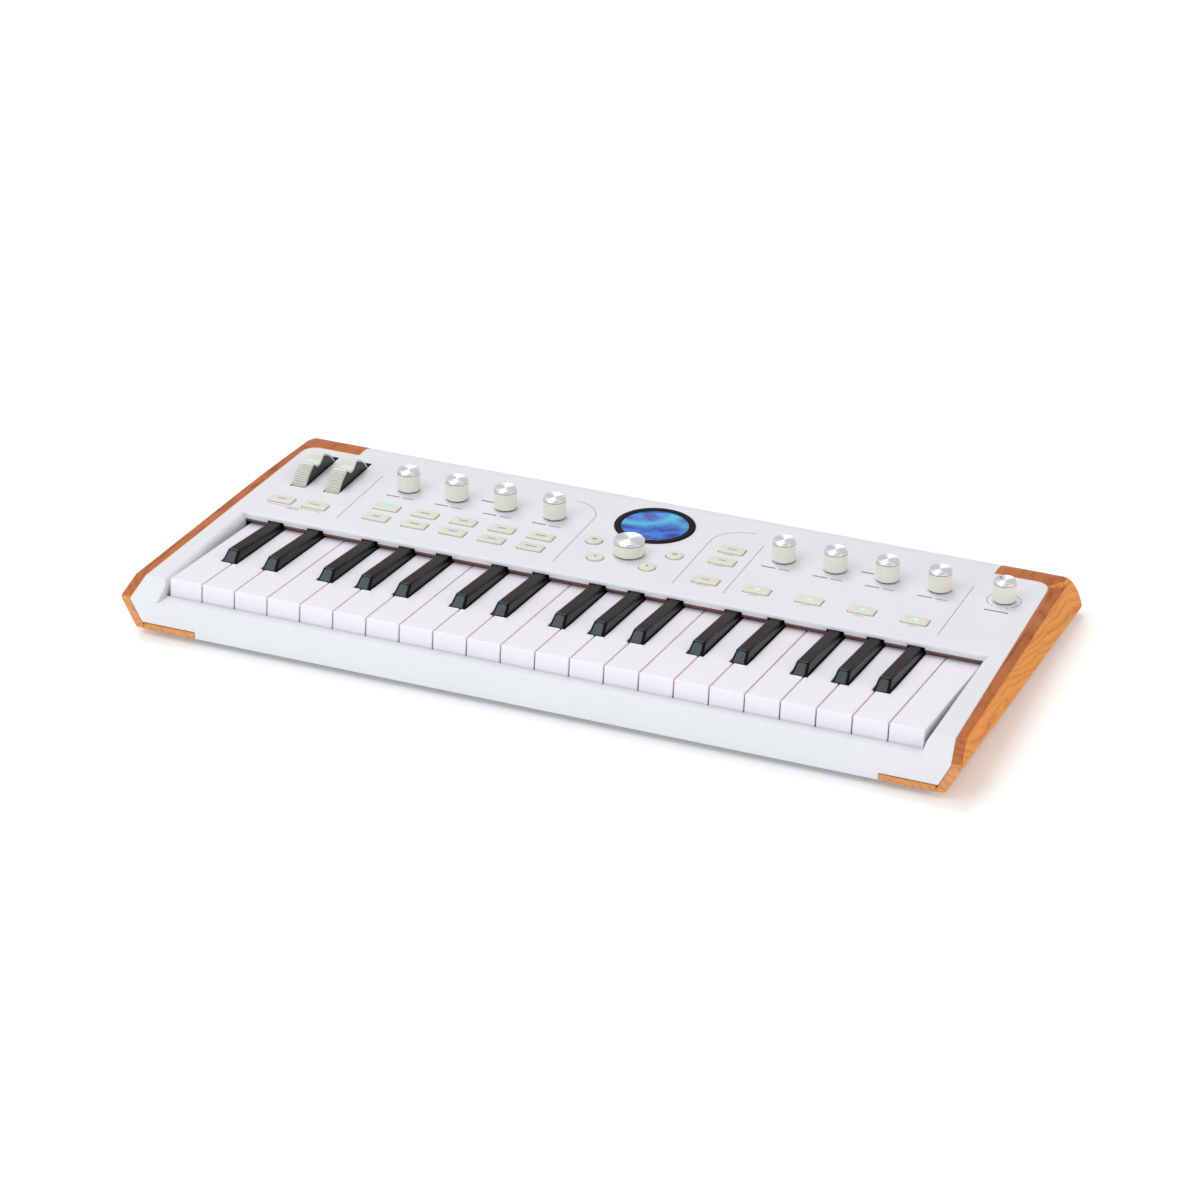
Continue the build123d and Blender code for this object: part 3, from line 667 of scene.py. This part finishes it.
# ---------------------------------------------------------------- wheels
wheel_names = ("pitch_wheel", "mod_wheel")
rim_radius = 25.2 * MM
tread_half = 4.7 * MM       # half the width of the tread
notch_radius = 7.4 * MM
notch_at = Vector((-1.5 * MM, rim_radius + 2.6 * MM))
sector = radians(85.0)      # how far the rim goes to each side of straight up
rib_pitch = 1.5 * MM
rib_depth = 0.85 * MM
hub_radius = 5.0 * MM
axle_radius = 2.0 * MM
rim_steps, hub_steps = 72, 12


def notched(turn):
    """Rim radius at an angle from straight up, with the thumb notch in it."""
    along = notch_at.x * sin(turn) + notch_at.y * cos(turn)
    inside = along * along - notch_at.length_squared + notch_radius ** 2
    return rim_radius if inside < 0 else min(rim_radius, along - sqrt(inside))


def rim_points(inset):
    """Side outline of a wheel as (y, z) about its axis: ribbed in front of the notch, smooth behind."""
    outline = []
    front_crest = -asin((notch_radius + 1.0 * MM) / rim_radius) + notch_at.x / rim_radius
    ribs = int((front_crest + sector) * rim_radius / rib_pitch)
    for number in range(ribs):
        for share, depth in ((0.0, 0.0), (0.45, 0.0), (0.62, rib_depth), (0.85, rib_depth)):
            turn = -sector + (number + share) * rib_pitch / rim_radius
            outline.append((turn, rim_radius - depth - inset))
    start = -sector + ribs * rib_pitch / rim_radius
    for step in range(rim_steps + 1):
        turn = start + (sector - start) * step / rim_steps
        near = [notched(turn + radians(k)) for k in (-3, -2, -1, 0, 1, 2, 3)]
        outline.append((turn, sum(near) / len(near) - inset))
    points = [(r * sin(t), r * cos(t)) for t, r in outline]
    below = [sector + (2 * pi - 2 * sector) * step / hub_steps for step in range(1, hub_steps)]
    points += [(hub_radius * sin(t), hub_radius * cos(t)) for t in below]
    return points


def wheel(node):
    """A pale ribbed tread with soft edges between two dark glossy sides."""
    axis_y, axis_z = joints[body_of(node)]["pos_m"][1:]
    x = middle(node).x
    half = tread_half
    stations = (
        (-half, 1.25), (-half, 0.40), (-half + 0.40 * MM, 0.0),
        (half - 0.40 * MM, 0.0), (half, 0.40), (half, 1.25),
    )
    shape = Shape()
    rings = []
    for dx, inset in stations:
        points = rim_points(inset * MM)
        rings.append([Vector((x + dx, axis_y + y, axis_z + z)) for y, z in points])
    shape.skin([list(reversed(r)) for r in rings], 1, 0, 0)
    reach = (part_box(node)[1].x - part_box(node)[0].x) / 2
    for side in (-1, 1):
        axle = []
        for dx in (half - 0.5 * MM, reach):
            ring = circle(0, 0, 0, axle_radius, 20)
            axle.append([Vector((x + side * dx, axis_y + p.x, axis_z + side * p.y)) for p in ring])
        shape.skin(axle, 0, 0, 0)
    surfaces = [wheel_dark, wheel_cream]
    return shape.finish(node + "_rim", body_of(node), surfaces, [node], sharp=30)


for node in wheel_names:
    wheel(node)


def painted_wheel_slot_shade():
    """Thin dark sheets inside the two wheel slots, as painted shade."""
    shape = Shape()
    top, foot = panel_top - 0.35 * MM, panel_top - 9.5 * MM
    half_x, half_y, wall = 5.17 * MM, 24.95 * MM, 0.12 * MM
    for node in wheel_names:
        x, y = middle(node).x, joints[body_of(node)]["pos_m"][1] + 2.0 * MM
        rings = []
        for grow, z in ((0, foot), (0, top), (-wall, top), (-wall, foot)):
            rings.append(rounded(x, y, z, half_x + grow, half_y + grow, 0.1 * MM, 2))
        shape.skin(rings, 0, None, None)
    return shape.finish("painted_wheel_slot_shade", "case", [socket_black_and_slot_shade])


painted_wheel_slot_shade()

# ---------------------------------------------------------------- buttons
rect_boxes = islands("rectangular_buttons", panel_top)
round_boxes = islands("round_buttons", panel_top)
flange_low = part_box("rectangular_buttons")[0].z
flange_wide, flange_high = 0.9 * MM, 1.0 * MM       # of the buttons' hidden feet
button_corner = 1.2 * MM
# A section of the painted shade in a button's gap: out from the button's side and down from the panel's
# top, in millimetres.
gap_shade_walls = ((0.04, 1.2), (0.04, 0.15), (0.29, 0.15), (0.29, 1.2))


# How a button's edge turns over: in from its side and down from its top, in millimetres.
soft_edge = ((0.0, 0.60), (0.08, 0.34), (0.30, 0.16), (0.65, 0.10))


def button_caps():
    """All rectangular buttons: round corners, soft edges and a slightly crowned top."""
    shape = Shape()
    for low, high in rect_boxes:
        x, y, half_x, half_y = halved(low, high)
        shoulder = flange_low + flange_high
        levels = [(-flange_wide, flange_low), (-flange_wide, shoulder), (0.0, shoulder)]
        for inset, fall in (*soft_edge, (2.0, 0.03), (3.6, 0.0)):
            levels.append((inset * MM, high.z - fall * MM))
        rings = [rounded(x, y, z, half_x - inset, half_y - inset, button_corner) for inset, z in levels]
        shape.skin(rings)
    node = "rectangular_buttons"
    return shape.finish("rectangular_button_caps", body_of(node), [button_cream], [node])


def round_caps():
    """The four round buttons, with soft edges and a crowned top."""
    shape = Shape()
    for low, high in round_boxes:
        x, y, radius, _ = halved(low, high)
        shoulder = flange_low + flange_high
        wide = radius + flange_wide
        profile = [(wide, flange_low), (wide, shoulder), (radius, shoulder)]
        for inset, fall in (*soft_edge, (2.5, 0.02), (4.2, 0.0)):
            profile.append((radius - inset * MM, high.z - fall * MM))
        shape.skin([circle(x, y, z, r, 40) for r, z in profile])
    node = "round_buttons"
    return shape.finish("round_button_caps", body_of(node), [button_cream], [node])


def painted_button_gap_shade():
    """Painted shade: a thin dark ring in the gap round each button, just under the panel's surface."""
    shape = Shape()
    walls = [(out * MM, panel_top - down * MM) for out, down in gap_shade_walls]
    for low, high in rect_boxes:
        x, y, half_x, half_y = halved(low, high)
        rings = [rounded(x, y, z, half_x + out, half_y + out, button_corner) for out, z in walls]
        shape.skin(rings, 0, None, None)
    for low, high in round_boxes:
        x, y, radius, _ = halved(low, high)
        rings = [circle(x, y, z, radius + out, 40) for out, z in walls]
        shape.skin(rings, 0, None, None)
    return shape.finish("painted_button_gap_shade", "case", [gap_shade_brown])


button_caps()
round_caps()
painted_button_gap_shade()


dash_length, dash_gap = 1.15 * MM, 0.28 * MM
ink_lift = 0.06 * MM        # of the marks over the buttons' tops


def bar(shape, x, y, z, length, height, kind):
    """A small flat mark, broken into short dashes where it is long enough."""
    count = max(1, round(length / (dash_length + dash_gap)))
    step = length / count
    start = x - length / 2
    for i in range(count):
        ends = (start + i * step, start + (i + 1) * step - (dash_gap if count > 2 else 0))
        shape.strip([(ends[0], y), (ends[1], y)], height, z, kind)


def button_marks():
    """Plain marks on the buttons in place of lettering; one is lit, and four carry a small light."""
    shape = Shape()
    inks = [print_grey, cyan_light, mint_light, blue_light, print_pale]
    cyan, mint, blue, pale = 1, 2, 3, 4
    lengths = (5.6, 7.2, 4.8, 6.4, 5.8)
    for number, (low, high) in enumerate(rect_boxes):
        x, y = halved(low, high)[:2]
        z = high.z + ink_lift
        length = lengths[number % len(lengths)] * MM
        if number in effect_numbers:
            bar(shape, x, y, z, 2.6 * MM, 2.4 * MM, mint)
        elif number == lit_number:
            bar(shape, x, y, z, 7.5 * MM, 1.5 * MM, cyan)
        elif -170 * MM < x < -50 * MM:
            bar(shape, x, y, z, length, 1.25 * MM, blue)
        else:
            bar(shape, x, y, z, length, 1.1 * MM, pale)
    return shape.finish("button_marks", "rectangular_buttons_body", inks)


# Numbers of the buttons, front row first and from left to right.
front_row = [i for i, (low, high) in enumerate(rect_boxes) if low.y < rect_boxes[0][0].y + 2 * MM]
effect_numbers = front_row[-4:]
lit_number = front_row[-1] + 1
button_marks()


def round_marks():
    """A small triangle or two short bars on each round button."""
    shape = Shape()
    reach = 1.1 * MM
    for number, (low, high) in enumerate(round_boxes):
        x, y = halved(low, high)[:2]
        z = high.z + ink_lift
        if number < 2:
            turns = [(pi if number == 0 else 0.0) + corner for corner in (0, 2.1, 4.2)]
            base = len(shape.points)
            shape.points += [Vector((x + reach * cos(t), y + reach * sin(t), z)) for t in turns]
            shape.faces.append((base, base + 1, base + 2))
            shape.kinds.append(0)
        else:
            bar(shape, x, y, z, 3.0 * MM, 0.5 * MM, 0)
            bar(shape, x, y + 1.0 * MM, z, 3.0 * MM, 0.5 * MM, 0)
    return shape.finish("round_button_marks", "round_buttons_body", [print_grey])


round_marks()


# ---------------------------------------------------------------- display
def display():
    """A glossy bezel with rolled edges round a glass screen."""
    low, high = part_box("display_module")
    x, y, radius, _ = halved(low, high)
    top, glass = high.z, 20.9 * MM
    profile = [
        (radius - 1.5 * MM, low.z), (radius - 1.5 * MM, panel_top), (radius, panel_top),
        (radius, top - 0.45 * MM), (radius - 0.12 * MM, top - 0.18 * MM), (radius - 0.5 * MM, top),
        (glass + 0.5 * MM, top), (glass + 0.15 * MM, top - 0.1 * MM), (glass, top - 0.45 * MM),
        (glass, panel_top - 0.1 * MM),
    ]
    shape = Shape()
    shape.skin([circle(x, y, z, r, 96) for r, z in profile], 0, 0, None)
    shape.finish(
        "display_bezel", "case", [bezel_black],
        ["display_module"], (x, y, top), 30,
    )
    cover = Shape()
    cover_top = panel_top + 0.45 * MM
    flat = [
        (glass - 0.03 * MM, panel_top - 0.1 * MM), (glass - 0.03 * MM, panel_top + 0.35 * MM),
        (glass - 0.3 * MM, cover_top), (0.5 * MM, cover_top),
    ]
    cover.skin([circle(x, y, z, r, 96) for r, z in flat])
    image = screen("screen_image", glass)
    cover.finish("display_screen", "case", [image], (), (x, y, panel_top))


display()


# ---------------------------------------------------------------- felt under the panel's lip
def felt_strip():
    """A thin strip of felt along the lip's foot, between the black keys."""
    top, foot = 28.42 * MM, 26.7 * MM
    front, rear = lip_y + 0.25 * MM, lip_y + 2.2 * MM
    half_y, half_z = (rear - front) / 2, (top - foot) / 2
    reach = 238.2 * MM
    gap = 5.6 * MM
    edges = [-reach]
    for node in black_names:
        edges += [middle(node).x - gap, middle(node).x + gap]
    edges.append(reach)
    shape = Shape()
    for start, end in zip(edges[::2], edges[1::2]):
        rings = []
        for x in (start, end):
            ring = rounded(0, 0, 0, half_y, half_z, 0.3 * MM, 3)
            rings.append([Vector((x, (front + rear) / 2 + p.x, (top + foot) / 2 + p.y)) for p in ring])
        shape.skin(rings)
    return shape.finish("lip_felt", "case", [lip_felt])


felt_strip()


# ---------------------------------------------------------------- print on the panel
def arc(cx, cy, radius, start, end, count=12):
    """Points of an arc, with its angles in degrees."""
    turns = [radians(start + (end - start) * i / count) for i in range(count + 1)]
    return [(cx + radius * cos(t), cy + radius * sin(t)) for t in turns]


# The lines between the groups, in millimetres: x, and y at both ends.
dividers = ((-184.0, 4.9, 72.5), (71.0, 3.9, 73.4), (205.3, 2.9, 73.4))
# The bent ones beside the display: x, y at the foot, y where the bend starts, x at the outer end.
bent_dividers = ((-38.3, 2.9, 66.9, -58.4), (38.6, 3.9, 66.9, 61.5))
divider_bend = 20.0         # radius of the bend
divider_slope = 0.27        # rise per length behind it
line_width = 0.32 * MM
print_z = panel_top + 0.03 * MM
dark_ink, pale_ink = 0, 1   # numbers of the print's two materials
mode_numbers = [i for i, (low, high) in enumerate(rect_boxes) if 40 * MM < low.x < 60 * MM]


def print_dividers(shape):
    """Fine lines between the groups of controls."""
    for x, start, end in dividers:
        shape.strip([(x * MM, start * MM), (x * MM, end * MM)], line_width, print_z)
    for x, start, knee, end_x in bent_dividers:
        side = -1 if x < 0 else 1
        first, last = (180, 105) if side > 0 else (0, 75)
        turn = arc(x + side * divider_bend, knee, divider_bend, first, last, 10)
        end_y = turn[-1][1] + abs(end_x - turn[-1][0]) * divider_slope
        route = [(x, start), *turn, (end_x, end_y)]
        shape.strip([(px * MM, py * MM) for px, py in route], line_width, print_z)


def print_volume_scale(shape):
    """An open ring round the volume knob, with a small circle beyond each end."""
    at = middle("volume_knob")
    radius, width, first, last, beyond = 10.2, 0.35 * MM, -50, 230, 12
    ring = [(at.x + dx * MM, at.y + dy * MM) for dx, dy in arc(0, 0, radius, first, last, 48)]
    shape.strip(ring, width, print_z)
    for turn in (first - beyond, last + beyond):
        dx, dy = arc(0, 0, radius, turn, turn, 1)[0]
        small = circle(0, 0, 0, 0.35, 12)
        dot = [(at.x + (dx + p.x) * MM, at.y + (dy + p.y) * MM) for p in small]
        shape.strip(dot, width, print_z, dark_ink, True)


def print_octave_bracket(shape):
    """A line over the two buttons in front of the wheels, and its label."""
    y = middle("pitch_wheel").y - 51.2 * MM
    left, right = middle("pitch_wheel").x - 7 * MM, middle("mod_wheel").x + 7 * MM
    shape.strip([(left, y), (right, y)], line_width, print_z)
    bar(shape, (left + right) / 2, y - 2.2 * MM, print_z, 9 * MM, 0.8 * MM, dark_ink)


def panel_print():
    """Fine printed lines between the groups, and plain bars where the labels would be."""
    shape = Shape()
    z = print_z
    print_dividers(shape)
    print_volume_scale(shape)
    print_octave_bracket(shape)
    for node in knob_names[:8]:
        x, y = middle(node).x, middle(node).y - 12.6 * MM
        bar(shape, x - 5.0 * MM, y, z, 9.0 * MM, 1.25 * MM, dark_ink)
        bar(shape, x + 5.4 * MM, y, z, 7.5 * MM, 1.25 * MM, pale_ink)
    for node in ("knob_3", "knob_7"):
        x, y = middle(node).x - 13.5 * MM, middle(node).y + 4.0 * MM
        bar(shape, x, y, z, 8.5 * MM, 1.4 * MM, dark_ink)
    for numbers, fall, length in ((effect_numbers, 2.4, 6.0), (mode_numbers, 2.0, 8.0)):
        for number in numbers:
            low, high = rect_boxes[number]
            x, y = halved(low, high)[0], low.y - fall * MM
            bar(shape, x, y, z, length * MM, 0.7 * MM, pale_ink)
    volume = middle("volume_knob")
    bar(shape, volume.x, volume.y - 15.5 * MM, z, 15 * MM, 1.3 * MM, dark_ink)
    return shape.finish("panel_print", "case", [print_grey, print_pale])


panel_print()


# ---------------------------------------------------------------- feet, screws and sockets
def feet():
    """Four rubber feet with a rolled edge and a dished sole."""
    shape = Shape()
    for low, high in islands("rubber_feet", table_z - MM):
        x, y, radius, _ = halved(low, high)
        profile = [
            (0.5 * MM, low.z + 0.4 * MM), (radius - 2.6 * MM, low.z + 0.4 * MM),
            (radius - 2.2 * MM, low.z), (radius - 0.9 * MM, low.z),
            (radius - 0.3 * MM, low.z + 0.25 * MM), (radius, low.z + 0.9 * MM), (radius, high.z),
        ]
        shape.skin([circle(x, y, z, r, 48) for r, z in profile])
    return shape.finish("feet", "case", [foot_rubber], ["rubber_feet"])


def screws():
    """Case screws with a cross recess."""
    shape = Shape()
    radius, head, recess = 2.4 * MM, 1.6 * MM, 1.0 * MM
    arm, half = 1.35 * MM, 0.35 * MM
    for low, high in islands("case_screws", table_z):
        x, y = halved(low, high)[:2]
        cross = []
        for quarter in range(4):
            turn = Matrix.Rotation(quarter * pi / 2, 2)
            cross += [turn @ Vector(p) for p in ((arm, -half), (arm, half), (half, half))]
        outer = [p.normalized() * radius for p in cross]
        face = [p * 0.9 for p in outer]
        shaft = [p * 0.52 for p in outer]
        levels = (
            (cross, low.z + recess), (cross, low.z), (face, low.z), (outer, low.z + 0.25 * MM),
            (outer, low.z + head), (shaft, low.z + head), (shaft, high.z),
        )
        shape.skin([[Vector((x + p.x, y + p.y, z)) for p in flat] for flat, z in levels])
    return shape.finish("screw_heads", "case", [screw_steel], ["case_screws"])


# A socket ring's section, in millimetres: out from the bore, and backwards from the bay's wall.
socket_ring = ((0.02, -2.5), (0.02, 0.9), (0.4, 1.2), (1.6, 1.2), (2.0, 0.8), (2.0, 0.0))


def socket_trim():
    """Rings round the jack and power sockets, on the bay's wall."""
    shape = Shape()
    wall = mounts["jack_bore_1"]["pos_m"][1] + 1.25 * MM
    for mount in mounts.values():
        if mount["kind"] != "bore":
            continue
        x, _, z = mount["pos_m"]
        bore = mount["dims"]["r_mm"] * MM
        rings = []
        for out, back in socket_ring:
            points = reversed(circle(0, 0, 0, bore + out * MM, 48))
            rings.append([Vector((x + p.x, wall + back * MM, z + p.y)) for p in points])
        shape.skin(rings, 0, None, None)
    return shape.finish("socket_rings", "case", [socket_black_and_slot_shade])


feet()
screws()
socket_trim()


# ---------------------------------------------------------------- floor, light and camera
def floor():
    """A large sheet of white paper at the table's height."""
    mesh = bpy.data.meshes.new("floor")
    half = 6.0
    corners = [(-half, -half, 0), (half, -half, 0), (half, half, 0), (-half, half, 0)]
    mesh.from_pydata(corners, [], [(0, 1, 2, 3)])
    ground = bpy.data.objects.new("floor", mesh)
    ground.location.z = table_z
    material, tree, shader = new_surface("floor_paper", Roughness=0.9, Emission_Strength=0.20)
    shader.inputs["Emission Color"].default_value = (1, 1, 1, 1)
    shader.inputs["Specular IOR Level"].default_value = 0.1
    paper = noise(tree, places(tree), 90.0, 3.0)
    shade = ramp(tree, paper, (0.3, (0.93, 0.93, 0.93)), (0.7, (0.95, 0.95, 0.95)))
    tree.links.new(shade, shader.inputs["Base Color"])
    mesh.materials.append(material)
    scene.collection.objects.link(ground)


def area_light(name, at, aim, size, power, colour):
    """A rectangular light at one point, aimed at another."""
    lamp = bpy.data.lights.new(name, "AREA")
    lamp.shape = "RECTANGLE"
    lamp.size, lamp.size_y = size
    lamp.energy = power
    lamp.color = colour
    holder = bpy.data.objects.new(name, lamp)
    holder.location = at
    holder.rotation_euler = (Vector(aim) - Vector(at)).to_track_quat("-Z", "Y").to_euler()
    scene.collection.objects.link(holder)


def lights():
    """A bright studio: an even world, a soft sun from behind on the left and three large panels."""
    world = bpy.data.worlds.new("studio")
    world.use_nodes = True
    backdrop = world.node_tree.nodes["Background"]
    backdrop.inputs["Color"].default_value = (0.97, 0.98, 1.0, 1)
    backdrop.inputs["Strength"].default_value = 0.55
    scene.world = world
    sun = bpy.data.lights.new("key", "SUN")
    sun.energy = 0.95
    sun.angle = radians(30)
    sun.color = (1.0, 0.985, 0.97)
    holder = bpy.data.objects.new("key", sun)
    holder.rotation_euler = Vector((0.44, -0.50, -1.0)).to_track_quat("-Z", "Y").to_euler()
    scene.collection.objects.link(holder)
    area_light("overhead", (-0.84, -0.96, 2.1), (0, 0, 0), (1.5, 1.1), 11, (0.93, 0.97, 1.0))
    area_light("front_left", (-1.3, -2.3, 0.75), (0, 0, 0), (1.4, 0.8), 11, (0.86, 0.94, 1.0))
    area_light("right", (2.4, -0.7, 0.6), (0.2, 0, 0), (1.0, 0.8), 8, (1.0, 0.96, 0.90))


def camera():
    """The photo's camera: a long lens from the front right, slightly rolled."""
    at = Vector((0.80611, -2.00337, 1.09832))
    aim = Vector((-0.0033, -0.0072, 0.0174))
    roll = radians(0.734)
    lens = bpy.data.cameras.new("camera")
    lens.sensor_width = 36.0
    lens.lens = 120.49
    lens.clip_end = 50.0
    holder = bpy.data.objects.new("camera", lens)
    turn = (aim - at).to_track_quat("-Z", "Y").to_matrix() @ Matrix.Rotation(roll, 3, "Z")
    holder.matrix_world = Matrix.Translation(at) @ turn.to_4x4()
    scene.collection.objects.link(holder)
    scene.camera = holder


floor()
lights()
camera()
scene.view_settings.view_transform = "Standard"
